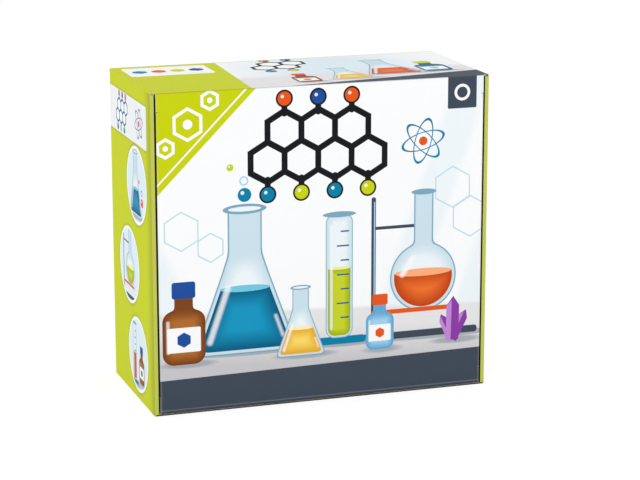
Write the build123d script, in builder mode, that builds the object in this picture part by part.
from build123d import *
import math
import os

os.makedirs("parts", exist_ok=True)

# A children's chemistry set in its printed board carton, in millimetres.
# The carton stands on its bottom wall: X runs along the front, Y from the front to the back, Z up.
# The origin is the middle of the bottom. The large front face is the lid, creased to the top wall.

# ---------------------------------------------------------------- driving dimensions: the carton
box_width = 250.0
box_height = 230.0
box_depth = 115.0
board = 1.0                  # thickness of the printed board
ply_gap = 0.1                # play between the layers of the rolled side walls
lid_side_gap = 1.0           # slot between the lid and each rolled side wall
lid_bottom_gap = 0.4         # slot between the lid's lower fold and the bottom wall
crease_gap = 0.08            # play in the mitred creases
fold_radius = 0.8            # rounding of the outside of a fold
corner_flap_height = 95.0    # flaps of the top and bottom walls inside the side walls
corner_flap_taper = 8.0
lock_tab_length = 22.0       # tabs that lock the rolled side walls in the back panel
lock_tab_play = 0.5
tuck_length = 30.0
tuck_lean = 8.0              # degrees that the tuck flap rises above square to the lid
tuck_side_gap = 4.0
tuck_corner_radius = 12.0
dust_depth = 33.0
dust_end_gap = 12.0
dust_taper = 10.0
dust_corner_radius = 6.0

# ---------------------------------------------------------------- driving dimensions: the tray
tray_wall = 1.0
tray_inset = 36.5            # from the lid's inner face to the tray's front face
tray_side_play = 1.0
tray_end_play = 0.4
seat_gap = 0.2               # play between a piece and what it rests on
pocket_play = 0.5            # play between a piece and the sides of its pocket
lower_row_height = 12.0      # inside of the lower pockets above the floor that the box stands on
column_gap = 11.0            # between the scale's pocket and the rack's pocket
scale_offset_x = -62.0
scale_front_step = 12.0      # how far the scale stands out of the tray
rack_front_step = 10.0
cup_front_step = 9.0
beaker_front_step = 15.0
funnel_front_step = 16.0
dropper_front_step = 5.0
beaker_offset_x = -66.0
beaker_drop = 82.0           # beaker's axis below the top of the box, as the next drops are
third_cup_offset_x = -74.0
cup_row_drop = 32.0
cup_row_start_x = 42.0
cup_pitch = 42.0
third_cup_drop = 26.0
funnel_offset_x = -8.0
funnel_drop = 36.0
dropper_offset_x = 95.5

# ---------------------------------------------------------------- driving dimensions: the scale
scale_width = 76.0
scale_height = 56.0
scale_depth = 50.0
scale_side_height = 16.0     # straight part of the sides, below the arch
scale_wall = 2.0
scale_base_radius = 3.0
window_half_width = 18.0
window_height = 21.0
window_base = 15.0           # window's straight edge above the scale's base
lens_thickness = 1.0
lens_margin = 2.0
dial_thickness = 0.8
dial_half_width = 20.5
dial_base = 7.0
dial_top = 39.5
dial_setback = 4.5           # from the front wall's inner face to the dial card
dial_post_radius = 1.8
dial_post_offset = 14.0
dial_post_height = 10.0
pivot_height = 17.5          # pointer's axis above the scale's base
shaft_radius = 1.2
running_gap = 0.08           # shaft play in its bearings
pointer_length = 16.0
pointer_hub_radius = 2.6
pointer_thickness = 1.0
pointer_setback = 2.4        # from the front wall's inner face to the pointer
pointer_rest_angle = 46.0    # degrees left of upright
pinion_teeth = 12
pinion_pitch_radius = 5.0
pressure_angle = 25.0
tooth_addendum = 0.8         # in modules, as the dedendum is
tooth_dedendum = 1.0
tooth_backlash = 0.3
pinion_width = 4.0
pinion_setback = 10.5        # from the front wall's inner face to the pinion
rack_bar_width = 3.6
yoke_margin = 1.0            # how far the yoke reaches past the toothed bar
bracket_thickness = 1.2
bracket_height = 24.0
bracket_half_width = 9.0
bracket_foot = 5.0
stem_radius = 7.5
stem_guide_gap = 0.35
stem_depth = 17.0            # how far the stem reaches below the top of the arch
stem_rise = 12.0             # pan's underside above the top of the arch
pan_travel = 8.0
pan_radius = 30.0
pan_floor_radius = 26.0
pan_rim_height = 7.0
pan_wall = 2.0
pan_hub_radius = 9.5
pan_hub_height = 3.0
spring_radius = 4.2
spring_wire = 1.0
spring_turns = 7
screw_post_radius = 3.4
screw_radius = 1.3
screw_head_radius = 2.6
screw_head_height = 1.6
screw_reach = 9.0            # length of a screw's shank inside the front shell
screw_hole_spare = 1.0       # depth of the screw's hole past its tip
screw_low_offset = 29.0
screw_low_height = 8.0
screw_high_offset = 25.0
screw_high_height = 35.0

# ---------------------------------------------------------------- driving dimensions: the glassware
beaker_radius = 30.0
beaker_length = 72.0
beaker_wall = 1.6
beaker_lip = 1.6
beaker_base_radius = 4.0
spout_radius = 7.0
spout_depth = 12.0
cup_mouth_radius = 18.0
cup_base_radius = 14.5
cup_length = 36.0
cup_wall = 1.2
cup_lip = 1.2
funnel_mouth_radius = 28.0
funnel_cone_length = 34.0
funnel_stem_radius = 4.6
funnel_tip_radius = 3.6
funnel_stem_length = 36.0
funnel_wall = 1.3
funnel_lip = 1.2
rack_base_width = 92.0
rack_top_width = 80.0
rack_height = 44.0
rack_depth = 34.0
rack_wall = 3.0
rack_corner_radius = 7.0
rack_pitch = 25.0
tube_radius = 8.0
tube_hole_gap = 0.4
tube_length = 78.0
tube_wall = 1.0
tube_lip = 1.0
tube_lip_height = 1.5
tube_lift = 43.0             # travel that lifts a tube out of the rack
stopper_plug_length = 10.0
stopper_plug_gap = 0.15
stopper_head_radius = 9.6
stopper_head_height = 8.0
stopper_head_taper = 2.0     # height of the bevel round the top of the head
stopper_lift = 12.0
dropper_tube_radius = 3.4
dropper_tip_radius = 1.3
dropper_tube_length = 84.0
dropper_taper_length = 22.0
dropper_bore_radius = 2.4
bulb_radius = 8.4
bulb_neck_radius = 5.6
bulb_length = 38.0
bulb_grip = 12.0             # length of tube inside the bulb

# ---------------------------------------------------------------- driving dimensions: the papers
booklet_width = 148.0
booklet_height = 205.0
booklet_pages = 1.6
booklet_cover = 0.3
sticker_width = 105.0
sticker_height = 148.0
sticker_thickness = 0.25
paper_gap = 0.1
sticker_shift = 18.0         # sideways step between the two sticker sheets

# ---------------------------------------------------------------- worked out from them
front = -box_depth / 2
back = box_depth / 2
half_width = box_width / 2
flap_outer_x = half_width - board - ply_gap
flap_inner_x = flap_outer_x - board
inner_ply_outer_x = flap_inner_x - ply_gap
inside_half_width = inner_ply_outer_x - board
lid_half_width = inside_half_width - lid_side_gap
lid_inner = front + board
back_inner = back - board
fold_height = board + lid_bottom_gap

tray_front = lid_inner + tray_inset
tray_half_width = inside_half_width - tray_side_play
tray_bottom = board + tray_end_play
tray_top = box_height - board - tray_end_play
tray_back = back_inner - seat_gap
lower_row = lower_row_height + seat_gap
beaker_height = box_height - beaker_drop
cup_row_height = box_height - cup_row_drop
third_cup_height = box_height - third_cup_drop
funnel_height = box_height - funnel_drop

scale_front = tray_front - scale_front_step
scale_back = scale_front + scale_depth
scale_middle = scale_front + scale_depth / 2
scale_inside_front = scale_front + scale_wall
scale_top = lower_row + scale_height
pan_bottom = scale_top + stem_rise
pan_top = pan_bottom + pan_rim_height
pivot_z = lower_row + pivot_height
stem_bottom = scale_top - stem_depth
pinion_front = scale_inside_front + pinion_setback
pinion_back = pinion_front + pinion_width
dial_front = scale_inside_front + dial_setback
bracket_front = pinion_back + seat_gap

rack_offset_x = scale_offset_x + scale_width / 2 + column_gap + rack_base_width / 2
rack_front = tray_front - rack_front_step
rack_middle = rack_front + rack_depth / 2
rack_top = lower_row + rack_height
tube_bottom = lower_row + rack_wall + seat_gap
tube_top = tube_bottom + tube_length
stopper_top = tube_top + seat_gap + stopper_head_height
tube_places = [rack_offset_x - rack_pitch, rack_offset_x]

front_view = Plane(origin=(0, 0, 0), x_dir=(1, 0, 0), z_dir=(0, -1, 0))


def seen_from_front(y):
    """Sketch plane at depth y with sketch x along X and sketch y along Z, facing the viewer."""
    return front_view.offset(-y)


def seen_from_side(x):
    """Sketch plane at x with sketch x along Y and sketch y along Z; it extrudes towards +X."""
    return Plane.YZ.offset(x)


def upright_at(x, y):
    """Sketch plane through the vertical line at (x, y), for revolving a profile of (radius, height)."""
    return Plane(origin=(x, y, 0), x_dir=(1, 0, 0), z_dir=(0, -1, 0))


def lying_at(x, z):
    """Sketch plane through the line along Y at (x, z), for revolving a profile of (radius, y)."""
    return Plane(origin=(x, 0, z), x_dir=(1, 0, 0), z_dir=(0, 0, 1))


def save(part, name):
    """Label a finished piece and write it to its own file."""
    part.label = name
    export_step(part, f"parts/{name}.step")


# ================================================================ carton
lock_heights = [box_height / 4, box_height * 3 / 4]
lock_slot_width = board + 2 * ply_gap
lock_slot_x = (inside_half_width + inner_ply_outer_x) / 2

# back panel: the carton's base panel, with slots for the tabs of the rolled side walls
with BuildPart() as back_panel:
    with BuildSketch(seen_from_front(back)):
        with Locations((0, box_height / 2)):
            Rectangle(box_width, box_height)
        slots = [(side * lock_slot_x, z) for side in (-1, 1) for z in lock_heights]
        with Locations(*slots):
            Rectangle(lock_slot_width, lock_tab_length + 2 * lock_tab_play, mode=Mode.SUBTRACT)
    extrude(amount=board)
    fold_edges = back_panel.faces().sort_by(Axis.Y)[-1].outer_wire().edges()
    fillet(fold_edges, radius=fold_radius)
save(back_panel.part, "back_panel")


def corner_flap_outline(root_z, towards):
    """Side view of a corner flap that folds from root_z towards +1 (up) or -1 (down)."""
    tip_z = root_z + towards * corner_flap_height
    return [
        (lid_inner + ply_gap, root_z),
        (back_inner - ply_gap, root_z),
        (back_inner - ply_gap, tip_z - towards * corner_flap_taper),
        (back_inner - ply_gap - corner_flap_taper, tip_z),
        (lid_inner + ply_gap + corner_flap_taper, tip_z),
        (lid_inner + ply_gap, tip_z - towards * corner_flap_taper),
    ]


# top wall: its front edge is mitred against the lid; its corner flaps lie inside the side walls
top_inner = box_height - board
with BuildPart() as top_wall:
    with BuildSketch(seen_from_side(-flap_outer_x)):
        with BuildLine():
            Polyline(
                (front + crease_gap, box_height),
                (back_inner, box_height),
                (back_inner, top_inner),
                (lid_inner + crease_gap, top_inner),
                close=True,
            )
        make_face()
    extrude(amount=2 * flap_outer_x)
    for x in (-flap_outer_x, flap_inner_x):
        with BuildSketch(seen_from_side(x)):
            with BuildLine():
                Polyline(*corner_flap_outline(top_inner, -1), close=True)
            make_face()
        extrude(amount=board)
save(top_wall.part, "top_wall")

# bottom wall: the carton stands on it
with BuildPart() as bottom_wall:
    with BuildSketch(seen_from_side(-flap_outer_x)):
        with BuildLine():
            Polyline(
                (front + ply_gap, 0),
                (back_inner, 0),
                (back_inner, board),
                (front + ply_gap, board),
                close=True,
            )
        make_face()
    extrude(amount=2 * flap_outer_x)
    for x in (-flap_outer_x, flap_inner_x):
        with BuildSketch(seen_from_side(x)):
            with BuildLine():
                Polyline(*corner_flap_outline(board, 1), close=True)
            make_face()
        extrude(amount=board)
save(bottom_wall.part, "bottom_wall")


def rolled_side_wall(side):
    """Outer ply, rolled front edge and inner ply of one side wall; side is -1 left, 1 right."""
    roll_bottom = board + ply_gap
    roll_height = box_height - 2 * roll_bottom
    outer_x = side * (half_width - board / 2)
    inner_x = side * (inside_half_width + board / 2)
    ply_end = back_inner - ply_gap
    with BuildPart() as wall:
        with BuildSketch(Plane.XY):
            with Locations((outer_x, (front + back_inner) / 2)):
                Rectangle(board, back_inner - front)
        extrude(amount=box_height)
        with BuildSketch(Plane.XY.offset(roll_bottom)):
            with Locations((side * (half_width + inside_half_width) / 2, front + board / 2)):
                Rectangle(half_width - inside_half_width, board)
            with Locations((inner_x, (front + ply_end) / 2)):
                Rectangle(board, ply_end - front)
        extrude(amount=roll_height)
        rolled = (
            wall.edges()
            .filter_by(Axis.Z)
            .filter_by(lambda edge: abs(edge.center().Y - front) < ply_gap)
            .filter_by(lambda edge: edge.length > roll_height - board)
        )
        fillet(rolled, radius=fold_radius)
        for z in lock_heights:
            with BuildSketch(Plane.XY.offset(z - lock_tab_length / 2)):
                with Locations((inner_x, (ply_end + back) / 2)):
                    Rectangle(board, back - ply_end)
            extrude(amount=lock_tab_length)
    return wall.part


save(rolled_side_wall(-1), "left_side_wall")
save(rolled_side_wall(1), "right_side_wall")

# lid panel: its top edge is mitred against the top wall, its lower edge against the tuck flap
mitre_angle = math.radians((90 + tuck_lean) / 2)
with BuildPart() as lid_panel:
    with BuildSketch(seen_from_side(-lid_half_width)):
        with BuildLine():
            Polyline(
                (front, box_height - crease_gap),
                (front, fold_height + crease_gap),
                (lid_inner, fold_height + crease_gap + board * math.tan(mitre_angle)),
                (lid_inner, top_inner - crease_gap),
                close=True,
            )
        make_face()
    extrude(amount=2 * lid_half_width)
save(lid_panel.part, "lid_panel")

# tuck flap: hangs on the lid's lower edge and rises a little as it runs in behind the lid
lean = math.radians(tuck_lean)
flap_run = (math.cos(lean), math.sin(lean))
flap_rise = (-math.sin(lean), math.cos(lean))
flap_mitre = board / math.tan(math.radians(90 - tuck_lean) / 2)


def on_flap(along, above):
    """Point on the tuck flap's side view: along it from the fold, and above its outer face."""
    return (
        front + along * flap_run[0] + above * flap_rise[0],
        fold_height + along * flap_run[1] + above * flap_rise[1],
    )


tuck_half_width = lid_half_width - tuck_side_gap
with BuildPart() as tuck_flap:
    with BuildSketch(seen_from_side(-tuck_half_width)):
        with BuildLine():
            Polyline(
                on_flap(crease_gap, 0),
                on_flap(tuck_length, 0),
                on_flap(tuck_length, board),
                on_flap(flap_mitre + crease_gap, board),
                close=True,
            )
        make_face()
    extrude(amount=2 * tuck_half_width)
    tip_edges = (
        tuck_flap.edges()
        .filter_by(lambda edge: abs(edge.length - board) < board / 10)
        .filter_by(lambda edge: edge.center().Y > front + tuck_length / 2)
    )
    fillet(tip_edges, radius=tuck_corner_radius)
save(tuck_flap.part, "tuck_flap")


def dust_flap(side):
    """Flap on one side edge of the lid, lying along the inside of the side wall."""
    low_z = fold_height + dust_end_gap
    high_z = top_inner - dust_end_gap
    root_y = lid_inner + crease_gap
    tip_y = front + dust_depth
    start_x = -lid_half_width if side < 0 else lid_half_width - board
    with BuildPart() as flap:
        with BuildSketch(seen_from_side(start_x)) as outline:
            with BuildLine():
                Polyline(
                    (root_y, low_z),
                    (tip_y, low_z + dust_taper),
                    (tip_y, high_z - dust_taper),
                    (root_y, high_z),
                    close=True,
                )
            make_face()
            fillet(outline.vertices().group_by(Axis.X)[-1], radius=dust_corner_radius)
        extrude(amount=board)
    return flap.part


save(dust_flap(-1), "left_dust_flap")
save(dust_flap(1), "right_dust_flap")

# ================================================================ tray
# Each pocket is open at the tray's front face and closed at its back.
rack_pocket_top = stopper_top + tube_lift + stopper_lift + pocket_play
scale_pocket = {
    "x": scale_offset_x,
    "bottom": lower_row_height,
    "top": pan_top + pocket_play + seat_gap,
    "width": scale_width + 2 * pocket_play,
    "corner": scale_base_radius,
    "floor": max(scale_back, scale_middle + pan_radius) + seat_gap,
}
rack_pocket = {
    "x": rack_offset_x,
    "bottom": lower_row_height,
    "top": rack_pocket_top,
    "width": rack_base_width + 2 * pocket_play,
    "corner": rack_corner_radius,
    "floor": rack_front + rack_depth + seat_gap,
}
dropper_length = dropper_tube_length + bulb_length - bulb_grip
dropper_middle = tray_front - dropper_front_step + bulb_radius
dropper_pocket = {
    "x": dropper_offset_x,
    "bottom": lower_row_height,
    "top": lower_row + dropper_length + pocket_play,
    "width": 2 * (bulb_radius + pocket_play),
    "corner": bulb_radius / 2,
    "floor": dropper_middle + bulb_radius + seat_gap,
}
box_pockets = [scale_pocket, rack_pocket, dropper_pocket]

cup_front = tray_front - cup_front_step
cup_back = cup_front + cup_length
cup_slope = (cup_mouth_radius - cup_base_radius) / (cup_length - cup_lip)
cup_pocket_radius = cup_mouth_radius - cup_slope * (cup_front_step - cup_lip) + seat_gap
cup_places = [
    (cup_row_start_x, cup_row_height),
    (cup_row_start_x + cup_pitch, cup_row_height),
    (third_cup_offset_x, third_cup_height),
]
beaker_front = tray_front - beaker_front_step
beaker_back = beaker_front + beaker_length
funnel_front = tray_front - funnel_front_step
funnel_shoulder = funnel_front + funnel_cone_length
funnel_back = funnel_shoulder + funnel_stem_length
funnel_slope = (funnel_mouth_radius - funnel_stem_radius) / (funnel_cone_length - funnel_lip)
funnel_waist = funnel_mouth_radius - funnel_slope * (funnel_front_step - funnel_lip)
funnel_pocket_radius = funnel_waist + seat_gap
round_pockets = [(x, z, cup_pocket_radius, cup_back + seat_gap) for x, z in cup_places]
round_pockets += [
    (beaker_offset_x, beaker_height, beaker_radius + seat_gap, beaker_back + seat_gap),
    (funnel_offset_x, funnel_height, funnel_pocket_radius, funnel_back + seat_gap),
]


def box_pocket_face(pocket, grow=0.0):
    """Rounded outline of a box pocket, grown by the wall where its outside is wanted."""
    with BuildSketch(seen_from_front(tray_front)) as face:
        with Locations((pocket["x"], (pocket["bottom"] + pocket["top"]) / 2)):
            RectangleRounded(
                pocket["width"] + 2 * grow,
                pocket["top"] - pocket["bottom"] + 2 * grow,
                pocket["corner"] + grow,
            )
    return face.sketch


def round_pocket_face(x, z, radius):
    """Circle of a round pocket at the tray's front face."""
    with BuildSketch(seen_from_front(tray_front)) as face:
        with Locations((x, z)):
            Circle(radius)
    return face.sketch


with BuildPart() as tray:
    tray_height = tray_top - tray_bottom
    tray_middle = (0, (tray_bottom + tray_top) / 2)
    with BuildSketch(seen_from_front(tray_front)):
        with Locations(tray_middle):
            Rectangle(2 * tray_half_width, tray_height)
    extrude(amount=-tray_wall)
    with BuildSketch(seen_from_front(tray_front)):
        with Locations(tray_middle):
            Rectangle(2 * tray_half_width, tray_height)
            Rectangle(
                2 * (tray_half_width - tray_wall),
                tray_height - 2 * tray_wall,
                mode=Mode.SUBTRACT,
            )
    extrude(amount=-(tray_back - tray_front))
    for pocket in box_pockets:
        outside_depth = pocket["floor"] + tray_wall - tray_front
        extrude(box_pocket_face(pocket, tray_wall), amount=-outside_depth)
    for x, z, radius, floor in round_pockets:
        outside_depth = floor + tray_wall - tray_front
        extrude(round_pocket_face(x, z, radius + tray_wall), amount=-outside_depth)
    for pocket in box_pockets:
        depth = pocket["floor"] - tray_front
        extrude(box_pocket_face(pocket), amount=-depth, mode=Mode.SUBTRACT)
    for x, z, radius, floor in round_pockets:
        depth = floor - tray_front
        extrude(round_pocket_face(x, z, radius), amount=-depth, mode=Mode.SUBTRACT)
save(tray.part, "tray")

# ================================================================ scale
# The stem's hole, the pivot and the screw posts are shared by both shells.
stem_hole_radius = stem_radius + stem_guide_gap
stem_hole_length = stem_depth + stem_rise
screw_places = [
    (scale_offset_x + side * offset, lower_row + height)
    for offset, height in (
        (screw_low_offset, screw_low_height),
        (screw_high_offset, screw_high_height),
    )
    for side in (-1, 1)
]


def arch_face(y, inset=0.0):
    """Front outline of the scale's housing, an arch on straight sides, inset by the wall."""
    half = scale_width / 2 - inset
    low = lower_row + inset
    spring_line = lower_row + scale_side_height
    with BuildSketch(seen_from_front(y)) as face:
        with BuildLine():
            Polyline(
                (scale_offset_x - half, spring_line),
                (scale_offset_x - half, low),
                (scale_offset_x + half, low),
                (scale_offset_x + half, spring_line),
            )
            EllipticalCenterArc(
                center=(scale_offset_x, spring_line),
                x_radius=half,
                y_radius=scale_height - scale_side_height - inset,
                start_angle=0,
                arc_size=180,
            )
        make_face()
        fillet(face.vertices().group_by(Axis.Y)[0], radius=scale_base_radius - inset)
    return face.sketch


def window_face(y, grow=0.0):
    """Half-round dial window above its straight edge, grown for the lens behind it."""
    half = window_half_width + grow
    base = lower_row + window_base - grow
    with BuildSketch(seen_from_front(y)) as face:
        with BuildLine():
            EllipticalCenterArc(
                center=(scale_offset_x, base),
                x_radius=half,
                y_radius=window_height + 2 * grow,
                start_angle=0,
                arc_size=180,
            )
            Line((scale_offset_x - half, base), (scale_offset_x + half, base))
        make_face()
    return face.sketch


with BuildPart() as scale_front_shell:
    extrude(arch_face(scale_front), amount=-(scale_middle - scale_front))
    extrude(
        arch_face(scale_inside_front, scale_wall),
        amount=-(scale_middle - scale_inside_front),
        mode=Mode.SUBTRACT,
    )
    extrude(window_face(scale_front), amount=-scale_wall, mode=Mode.SUBTRACT)
    with BuildSketch(seen_from_front(scale_inside_front)):
        with Locations(*screw_places):
            Circle(screw_post_radius)
    extrude(amount=-(scale_middle - scale_inside_front))
    with BuildSketch(seen_from_front(scale_middle)):
        with Locations(*screw_places):
            Circle(screw_radius + running_gap)
    extrude(amount=screw_reach + screw_hole_spare, mode=Mode.SUBTRACT)
    with BuildSketch(seen_from_front(scale_inside_front)):
        with Locations(
            *[
                (scale_offset_x + side * dial_post_offset, lower_row + dial_post_height)
                for side in (-1, 1)
            ]
        ):
            Circle(dial_post_radius)
    extrude(amount=-dial_setback)
    with BuildSketch(Plane.XY.offset(stem_bottom)):
        with Locations((scale_offset_x, scale_middle)):
            Circle(stem_hole_radius)
    extrude(amount=stem_hole_length, mode=Mode.SUBTRACT)
save(scale_front_shell.part, "scale_front_shell")

with BuildPart() as scale_back_shell:
    extrude(arch_face(scale_back), amount=scale_back - scale_middle)
    extrude(
        arch_face(scale_back - scale_wall, scale_wall),
        amount=scale_back - scale_wall - scale_middle,
        mode=Mode.SUBTRACT,
    )
    with BuildSketch(seen_from_front(scale_back)):
        with Locations(*screw_places):
            Circle(screw_post_radius)
    extrude(amount=scale_back - scale_middle)
    with BuildSketch(seen_from_front(scale_back)):
        with Locations(*screw_places):
            Circle(screw_radius + running_gap)
    extrude(amount=scale_back - scale_middle, mode=Mode.SUBTRACT)
    with BuildSketch(seen_from_front(scale_back)):
        with Locations(*screw_places):
            Circle(screw_head_radius + running_gap)
    extrude(amount=screw_head_height + seat_gap, mode=Mode.SUBTRACT)
    with BuildSketch(Plane.XY.offset(stem_bottom)):
        with Locations((scale_offset_x, scale_middle)):
            Circle(stem_hole_radius)
    extrude(amount=stem_hole_length, mode=Mode.SUBTRACT)
save(scale_back_shell.part, "scale_back_shell")

# four screws from the back, heads sunk in the back shell
with BuildPart() as scale_screws:
    with BuildSketch(seen_from_front(scale_back - seat_gap)):
        with Locations(*screw_places):
            Circle(screw_head_radius)
    extrude(amount=screw_head_height)
    with BuildSketch(seen_from_front(scale_back - seat_gap)):
        with Locations(*screw_places):
            Circle(screw_radius)
    extrude(amount=scale_back - seat_gap - scale_middle + screw_reach)
    with BuildSketch(seen_from_front(scale_back - seat_gap)):
        with Locations(*screw_places):
            Rectangle(2 * screw_radius, screw_radius / 2)
            Rectangle(screw_radius / 2, 2 * screw_radius)
    extrude(amount=screw_head_height / 2, mode=Mode.SUBTRACT)
save(scale_screws.part, "scale_screws")

# clear window behind the front wall
with BuildPart() as dial_lens:
    extrude(window_face(scale_inside_front, lens_margin), amount=-lens_thickness)
save(dial_lens.part, "dial_lens")

# dial card on its two posts, with a hole for the pointer's shaft
with BuildPart() as dial_card:
    with BuildSketch(seen_from_front(dial_front)) as outline:
        with Locations((scale_offset_x, lower_row + (dial_base + dial_top) / 2)):
            Rectangle(2 * dial_half_width, dial_top - dial_base)
        fillet(outline.vertices().group_by(Axis.Y)[-1], radius=dial_half_width / 2)
        with Locations((scale_offset_x, pivot_z)):
            Circle(shaft_radius + 2 * running_gap, mode=Mode.SUBTRACT)
    extrude(amount=-dial_thickness)
save(dial_card.part, "dial_card")


def pinion_outline():
    """Points round a stub involute pinion with a tooth gap facing +X, where the rack meshes."""
    module = 2 * pinion_pitch_radius / pinion_teeth
    pressure = math.radians(pressure_angle)
    base_radius = pinion_pitch_radius * math.cos(pressure)
    tip_radius = pinion_pitch_radius + tooth_addendum * module
    root_radius = pinion_pitch_radius - tooth_dedendum * module
    half_tooth = (math.pi * module - tooth_backlash) / 4 / pinion_pitch_radius
    steps = 4

    def half_angle(radius):
        roll = math.acos(base_radius / radius)
        return half_tooth + math.tan(pressure) - pressure - math.tan(roll) + roll

    flank_radii = [base_radius + (tip_radius - base_radius) * i / steps for i in range(steps + 1)]
    points = []
    for tooth in range(pinion_teeth):
        centre = 2 * math.pi * (tooth + 0.5) / pinion_teeth
        flank = [(root_radius, half_angle(base_radius))]
        flank += [(radius, half_angle(radius)) for radius in flank_radii]
        for radius, angle in flank:
            points.append((radius * math.cos(centre - angle), radius * math.sin(centre - angle)))
        for radius, angle in reversed(flank):
            points.append((radius * math.cos(centre + angle), radius * math.sin(centre + angle)))
    return [(scale_offset_x + x, pivot_z + z) for x, z in points]


# pinion and its shaft, which carries the pointer in front of the dial
pointer_front = scale_inside_front + pointer_setback
pointer_back = pointer_front + pointer_thickness
with BuildPart() as pinion_shaft:
    with BuildSketch(seen_from_front(pinion_front)):
        with BuildLine():
            Polyline(*pinion_outline(), close=True)
        make_face()
    extrude(amount=-pinion_width)
    with BuildSketch(seen_from_front(pointer_back)):
        with Locations((scale_offset_x, pivot_z)):
            Circle(shaft_radius)
    extrude(amount=-(bracket_front + bracket_thickness - pointer_back))
save(pinion_shaft.part, "pinion_shaft")

# bracket that carries the shaft behind the pinion; its foot stands on the front shell's floor
scale_floor = lower_row + scale_wall
with BuildPart() as movement_bracket:
    with BuildSketch(seen_from_front(bracket_front)):
        with Locations((scale_offset_x, scale_floor + bracket_height / 2)):
            Rectangle(2 * bracket_half_width, bracket_height)
        with Locations((scale_offset_x, pivot_z)):
            Circle(shaft_radius + running_gap, mode=Mode.SUBTRACT)
    extrude(amount=-bracket_thickness)
    with BuildSketch(Plane.XY.offset(scale_floor)):
        with Locations((scale_offset_x, bracket_front - bracket_foot / 2)):
            Rectangle(2 * bracket_half_width, bracket_foot)
    extrude(amount=bracket_thickness)
save(movement_bracket.part, "movement_bracket")

# pointer: hub and tapered needle, drawn upright and turned to its rest angle
turn = math.radians(90 + pointer_rest_angle)


def on_pointer(along, across):
    """Point on the pointer, along the needle from the pivot and across it."""
    return (
        scale_offset_x + along * math.cos(turn) - across * math.sin(turn),
        pivot_z + along * math.sin(turn) + across * math.cos(turn),
    )


with BuildPart() as pointer:
    with BuildSketch(seen_from_front(pointer_front)):
        with BuildLine():
            Polyline(
                on_pointer(0, pointer_hub_radius / 2),
                on_pointer(pointer_length, pointer_thickness / 4),
                on_pointer(pointer_length, -pointer_thickness / 4),
                on_pointer(0, -pointer_hub_radius / 2),
                close=True,
            )
        make_face()
        with Locations((scale_offset_x, pivot_z)):
            Circle(pointer_hub_radius)
    extrude(amount=-pointer_thickness)
save(pointer.part, "pointer")


def rack_bar_outline():
    """Points round the toothed bar; a tooth faces the pinion's gap at the height of the pivot."""
    module = 2 * pinion_pitch_radius / pinion_teeth
    pitch = math.pi * module
    slope = math.tan(math.radians(pressure_angle))
    tooth_top = pinion_pitch_radius - tooth_addendum * module
    tooth_root = pinion_pitch_radius + tooth_dedendum * module
    half_top = (pitch - tooth_backlash) / 4 - tooth_addendum * module * slope
    half_root = (pitch - tooth_backlash) / 4 + tooth_dedendum * module * slope
    lowest = -int((pivot_height - scale_wall - pan_travel - pitch) / pitch)
    highest = int((pan_travel + 2 * pitch) / pitch)
    points = [(tooth_root + rack_bar_width, lowest * pitch - pitch / 2)]
    points.append((tooth_root, lowest * pitch - pitch / 2))
    for tooth in range(lowest, highest + 1):
        points.append((tooth_root, tooth * pitch - half_root))
        points.append((tooth_top, tooth * pitch - half_top))
        points.append((tooth_top, tooth * pitch + half_top))
        points.append((tooth_root, tooth * pitch + half_root))
    points.append((tooth_root, stem_bottom - pivot_z + rack_bar_width))
    points.append((tooth_root + rack_bar_width, stem_bottom - pivot_z + rack_bar_width))
    return [(scale_offset_x + x, pivot_z + z) for x, z in points]


# stem: round column under the pan, with a yoke that carries the toothed bar beside the pinion
yoke_half_width = pinion_pitch_radius + rack_bar_width + yoke_margin
with BuildPart() as weighing_stem:
    with BuildSketch(Plane.XY.offset(stem_bottom)):
        with Locations((scale_offset_x, scale_middle)):
            Circle(stem_radius)
    extrude(amount=pan_bottom - stem_bottom)
    with BuildSketch(seen_from_front(pinion_front)):
        with BuildLine():
            Polyline(*rack_bar_outline(), close=True)
        make_face()
    extrude(amount=-pinion_width)
    with BuildSketch(Plane.XY.offset(stem_bottom)):
        with Locations((scale_offset_x + yoke_half_width / 2, (pinion_front + scale_middle) / 2)):
            Rectangle(yoke_half_width, scale_middle - pinion_front)
    extrude(amount=rack_bar_width)
save(weighing_stem.part, "weighing_stem")

# pan: shallow dish with a hub that sits on the stem
with BuildPart() as pan:
    with BuildSketch(upright_at(scale_offset_x, scale_middle)):
        with BuildLine():
            Polyline(
                (0, pan_bottom),
                (pan_floor_radius, pan_bottom),
                (pan_radius, pan_top - pan_wall),
                (pan_radius, pan_top),
                (pan_radius - pan_wall, pan_top),
                (pan_floor_radius - pan_wall / 2, pan_bottom + pan_wall),
                (0, pan_bottom + pan_wall),
                close=True,
            )
        make_face()
    revolve(axis=Axis((scale_offset_x, scale_middle, 0), (0, 0, 1)))
    with BuildSketch(Plane.XY.offset(pan_bottom - pan_hub_height)):
        with Locations((scale_offset_x, scale_middle)):
            Circle(pan_hub_radius)
            Circle(stem_radius + running_gap, mode=Mode.SUBTRACT)
    extrude(amount=pan_hub_height)
save(pan.part, "pan")

# return spring between the housing's floor and the stem
spring_bottom = scale_floor + spring_wire / 2
spring_length = stem_bottom - scale_floor - spring_wire
with BuildPart() as return_spring:
    with BuildLine() as coil:
        Helix(
            pitch=spring_length / spring_turns,
            height=spring_length,
            radius=spring_radius,
            center=(scale_offset_x, scale_middle, spring_bottom),
        )
    with BuildSketch(Plane(origin=coil.line @ 0, z_dir=coil.line % 0)):
        Circle(spring_wire / 2)
    sweep(is_frenet=True)
save(return_spring.part, "return_spring")

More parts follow.
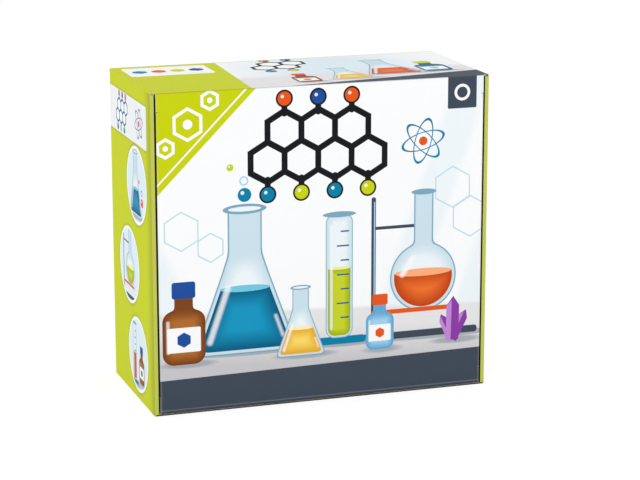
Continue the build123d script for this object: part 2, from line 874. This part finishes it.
# ================================================================ glassware and small pieces
with BuildPart() as beaker:
    with BuildSketch(lying_at(beaker_offset_x, beaker_height)) as profile:
        with BuildLine():
            Polyline(
                (0, beaker_back),
                (beaker_radius, beaker_back),
                (beaker_radius, beaker_front + 2 * beaker_lip),
                (beaker_radius + beaker_lip, beaker_front + beaker_lip),
                (beaker_radius + beaker_lip, beaker_front),
                (0, beaker_front),
                close=True,
            )
        make_face()
        fillet(
            profile.vertices().group_by(Axis.Y)[-1].sort_by(Axis.X)[-1], radius=beaker_base_radius
        )
    beaker_axis = Axis((beaker_offset_x, 0, beaker_height), (0, 1, 0))
    revolve(axis=beaker_axis)
    spout_height = beaker_height + beaker_radius - beaker_lip
    with BuildSketch(lying_at(beaker_offset_x, spout_height)):
        with BuildLine():
            Polyline(
                (0, beaker_front),
                (spout_radius, beaker_front),
                (0, beaker_front + spout_depth),
                close=True,
            )
        make_face()
    revolve(axis=Axis((beaker_offset_x, 0, spout_height), (0, 1, 0)))
    with BuildSketch(lying_at(beaker_offset_x, spout_height)):
        with BuildLine():
            Polyline(
                (0, beaker_front),
                (spout_radius - beaker_wall, beaker_front),
                (0, beaker_front + spout_depth - 2 * beaker_wall),
                close=True,
            )
        make_face()
    revolve(axis=Axis((beaker_offset_x, 0, spout_height), (0, 1, 0)), mode=Mode.SUBTRACT)
    with BuildSketch(lying_at(beaker_offset_x, beaker_height)):
        with BuildLine():
            Polyline(
                (0, beaker_back - beaker_wall),
                (beaker_radius - beaker_base_radius, beaker_back - beaker_wall),
                (beaker_radius - beaker_wall, beaker_back - beaker_base_radius),
                (beaker_radius - beaker_wall, beaker_front),
                (0, beaker_front),
                close=True,
            )
        make_face()
    revolve(axis=beaker_axis, mode=Mode.SUBTRACT)
save(beaker.part, "beaker")


def measuring_cup(x, z):
    """Small tapered cup lying with its mouth to the front."""
    with BuildPart() as cup:
        with BuildSketch(lying_at(x, z)):
            with BuildLine():
                Polyline(
                    (0, cup_back),
                    (cup_base_radius, cup_back),
                    (cup_mouth_radius, cup_front + cup_lip),
                    (cup_mouth_radius + cup_lip, cup_front + cup_lip),
                    (cup_mouth_radius + cup_lip, cup_front),
                    (cup_mouth_radius - cup_wall, cup_front),
                    (cup_base_radius - cup_wall, cup_back - cup_wall),
                    (0, cup_back - cup_wall),
                    close=True,
                )
            make_face()
        revolve(axis=Axis((x, 0, z), (0, 1, 0)))
    return cup.part


for number, (x, z) in enumerate(cup_places, start=1):
    save(measuring_cup(x, z), f"cup_{number}")

with BuildPart() as funnel:
    with BuildSketch(lying_at(funnel_offset_x, funnel_height)):
        with BuildLine():
            Polyline(
                (funnel_mouth_radius, funnel_front + funnel_lip),
                (funnel_mouth_radius + funnel_lip, funnel_front + funnel_lip),
                (funnel_mouth_radius + funnel_lip, funnel_front),
                (funnel_mouth_radius - funnel_wall, funnel_front),
                (funnel_stem_radius - funnel_wall, funnel_shoulder),
                (funnel_tip_radius - funnel_wall, funnel_back),
                (funnel_tip_radius, funnel_back),
                (funnel_stem_radius, funnel_shoulder),
                close=True,
            )
        make_face()
    revolve(axis=Axis((funnel_offset_x, 0, funnel_height), (0, 1, 0)))
save(funnel.part, "funnel")


def rack_band_face(inset=0.0):
    """Front outline of the rack, wider at its base, inset by its wall for the inside."""
    low = lower_row + inset
    high = rack_top - inset
    with BuildSketch(seen_from_front(rack_front)) as face:
        with BuildLine():
            Polyline(
                (rack_offset_x - rack_base_width / 2 + inset, low),
                (rack_offset_x + rack_base_width / 2 - inset, low),
                (rack_offset_x + rack_top_width / 2 - inset, high),
                (rack_offset_x - rack_top_width / 2 + inset, high),
                close=True,
            )
        make_face()
        fillet(face.vertices(), radius=rack_corner_radius - inset)
    return face.sketch


with BuildPart() as tube_rack:
    extrude(rack_band_face(), amount=-rack_depth)
    extrude(rack_band_face(rack_wall), amount=-rack_depth, mode=Mode.SUBTRACT)
    with BuildSketch(Plane.XY.offset(rack_top - rack_wall)):
        with Locations(*[(rack_offset_x + step * rack_pitch, rack_middle) for step in (-1, 0, 1)]):
            Circle(tube_radius + tube_hole_gap)
    extrude(amount=rack_wall, mode=Mode.SUBTRACT)
save(tube_rack.part, "tube_rack")


def test_tube(x):
    """Round-bottomed tube standing on the rack's base."""
    inner = tube_radius - tube_wall
    with BuildPart() as tube:
        with BuildSketch(upright_at(x, rack_middle)):
            with BuildLine():
                CenterArc((0, tube_bottom + tube_radius), tube_radius, -90, 90)
                Polyline(
                    (tube_radius, tube_bottom + tube_radius),
                    (tube_radius, tube_top - tube_lip_height),
                    (tube_radius + tube_lip, tube_top - tube_lip_height),
                    (tube_radius + tube_lip, tube_top),
                    (inner, tube_top),
                    (inner, tube_bottom + tube_radius),
                )
                CenterArc((0, tube_bottom + tube_radius), inner, -90, 90)
                Line((0, tube_bottom + tube_wall), (0, tube_bottom))
            make_face()
        revolve(axis=Axis((x, rack_middle, 0), (0, 0, 1)))
    return tube.part


def stopper(x):
    """Push-in stopper seated on a tube's rim."""
    seat = tube_top + seat_gap / 2
    plug_radius = tube_radius - tube_wall - stopper_plug_gap
    with BuildPart() as plug:
        with BuildSketch(upright_at(x, rack_middle)):
            with BuildLine():
                Polyline(
                    (0, seat - stopper_plug_length),
                    (plug_radius - tube_wall, seat - stopper_plug_length),
                    (plug_radius, seat - stopper_plug_length / 2),
                    (plug_radius, seat),
                    (stopper_head_radius - tube_lip, seat),
                    (stopper_head_radius, seat + stopper_head_height - stopper_head_taper),
                    (stopper_head_radius - tube_lip, seat + stopper_head_height),
                    (0, seat + stopper_head_height),
                    close=True,
                )
            make_face()
        revolve(axis=Axis((x, rack_middle, 0), (0, 0, 1)))
    return plug.part


for number, x in enumerate(tube_places, start=1):
    save(test_tube(x), f"test_tube_{number}")
    save(stopper(x), f"stopper_{number}")

# dropper: drawn-out tube with its tip down, and a rubber bulb pulled over its top
dropper_bottom = lower_row
taper_top = dropper_bottom + dropper_taper_length
dropper_tube_top = dropper_bottom + dropper_tube_length
dropper_axis = Axis((dropper_offset_x, dropper_middle, 0), (0, 0, 1))
with BuildPart() as dropper_tube:
    with BuildSketch(upright_at(dropper_offset_x, dropper_middle)):
        with BuildLine():
            Polyline(
                (dropper_tip_radius / 2, dropper_bottom),
                (dropper_tip_radius, dropper_bottom),
                (dropper_tube_radius, taper_top),
                (dropper_tube_radius, dropper_tube_top),
                (dropper_bore_radius, dropper_tube_top),
                (dropper_bore_radius, taper_top),
                close=True,
            )
        make_face()
    revolve(axis=dropper_axis)
save(dropper_tube.part, "dropper_tube")

bulb_bottom = dropper_tube_top - bulb_grip
bulb_top = bulb_bottom + bulb_length
bulb_shoulder = bulb_bottom + bulb_grip
with BuildPart() as dropper_bulb:
    with BuildSketch(upright_at(dropper_offset_x, dropper_middle)):
        with BuildLine():
            Polyline(
                (dropper_tube_radius + running_gap, bulb_bottom),
                (bulb_neck_radius, bulb_bottom),
                (bulb_neck_radius, bulb_shoulder),
                (bulb_radius, bulb_shoulder + bulb_radius / 2),
                (bulb_radius, bulb_top - bulb_radius),
            )
            CenterArc((0, bulb_top - bulb_radius), bulb_radius, 0, 90)
            Polyline(
                (0, bulb_top),
                (0, dropper_tube_top + running_gap),
                (dropper_tube_radius + running_gap, dropper_tube_top + running_gap),
                (dropper_tube_radius + running_gap, bulb_bottom),
            )
        make_face()
    revolve(axis=dropper_axis)
save(dropper_bulb.part, "dropper_bulb")

# ================================================================ papers, behind the tray
papers_bottom = tray_bottom + tray_wall + seat_gap
cover_back = back_inner - seat_gap
pages_back = cover_back - booklet_cover
pages_front = pages_back - booklet_pages
cover_front = pages_front - booklet_cover

with BuildPart() as booklet_sheets:
    with BuildSketch(seen_from_front(pages_back)):
        with Locations((booklet_cover, papers_bottom + booklet_height / 2)):
            Rectangle(booklet_width - 2 * booklet_cover, booklet_height - 2 * booklet_cover)
    extrude(amount=booklet_pages)
save(booklet_sheets.part, "booklet_pages")

with BuildPart() as cover_sheet:
    with BuildSketch(Plane.XY.offset(papers_bottom)):
        with Locations((booklet_cover / 2, (cover_front + cover_back) / 2)):
            Rectangle(booklet_width + booklet_cover, cover_back - cover_front)
        with Locations((booklet_cover, (pages_front + pages_back) / 2)):
            Rectangle(booklet_width, booklet_pages, mode=Mode.SUBTRACT)
    extrude(amount=booklet_height)
save(cover_sheet.part, "booklet_cover")

sheet_back = cover_front
for name, shift in (("sticker_sheet_blue", -sticker_shift), ("sticker_sheet_lime", sticker_shift)):
    sheet_back -= paper_gap
    with BuildPart() as sticker_sheet:
        with BuildSketch(seen_from_front(sheet_back)):
            with Locations((shift, papers_bottom + sticker_height / 2)):
                Rectangle(sticker_width, sticker_height)
        extrude(amount=sticker_thickness)
    save(sticker_sheet.part, name)
    sheet_back -= sticker_thickness
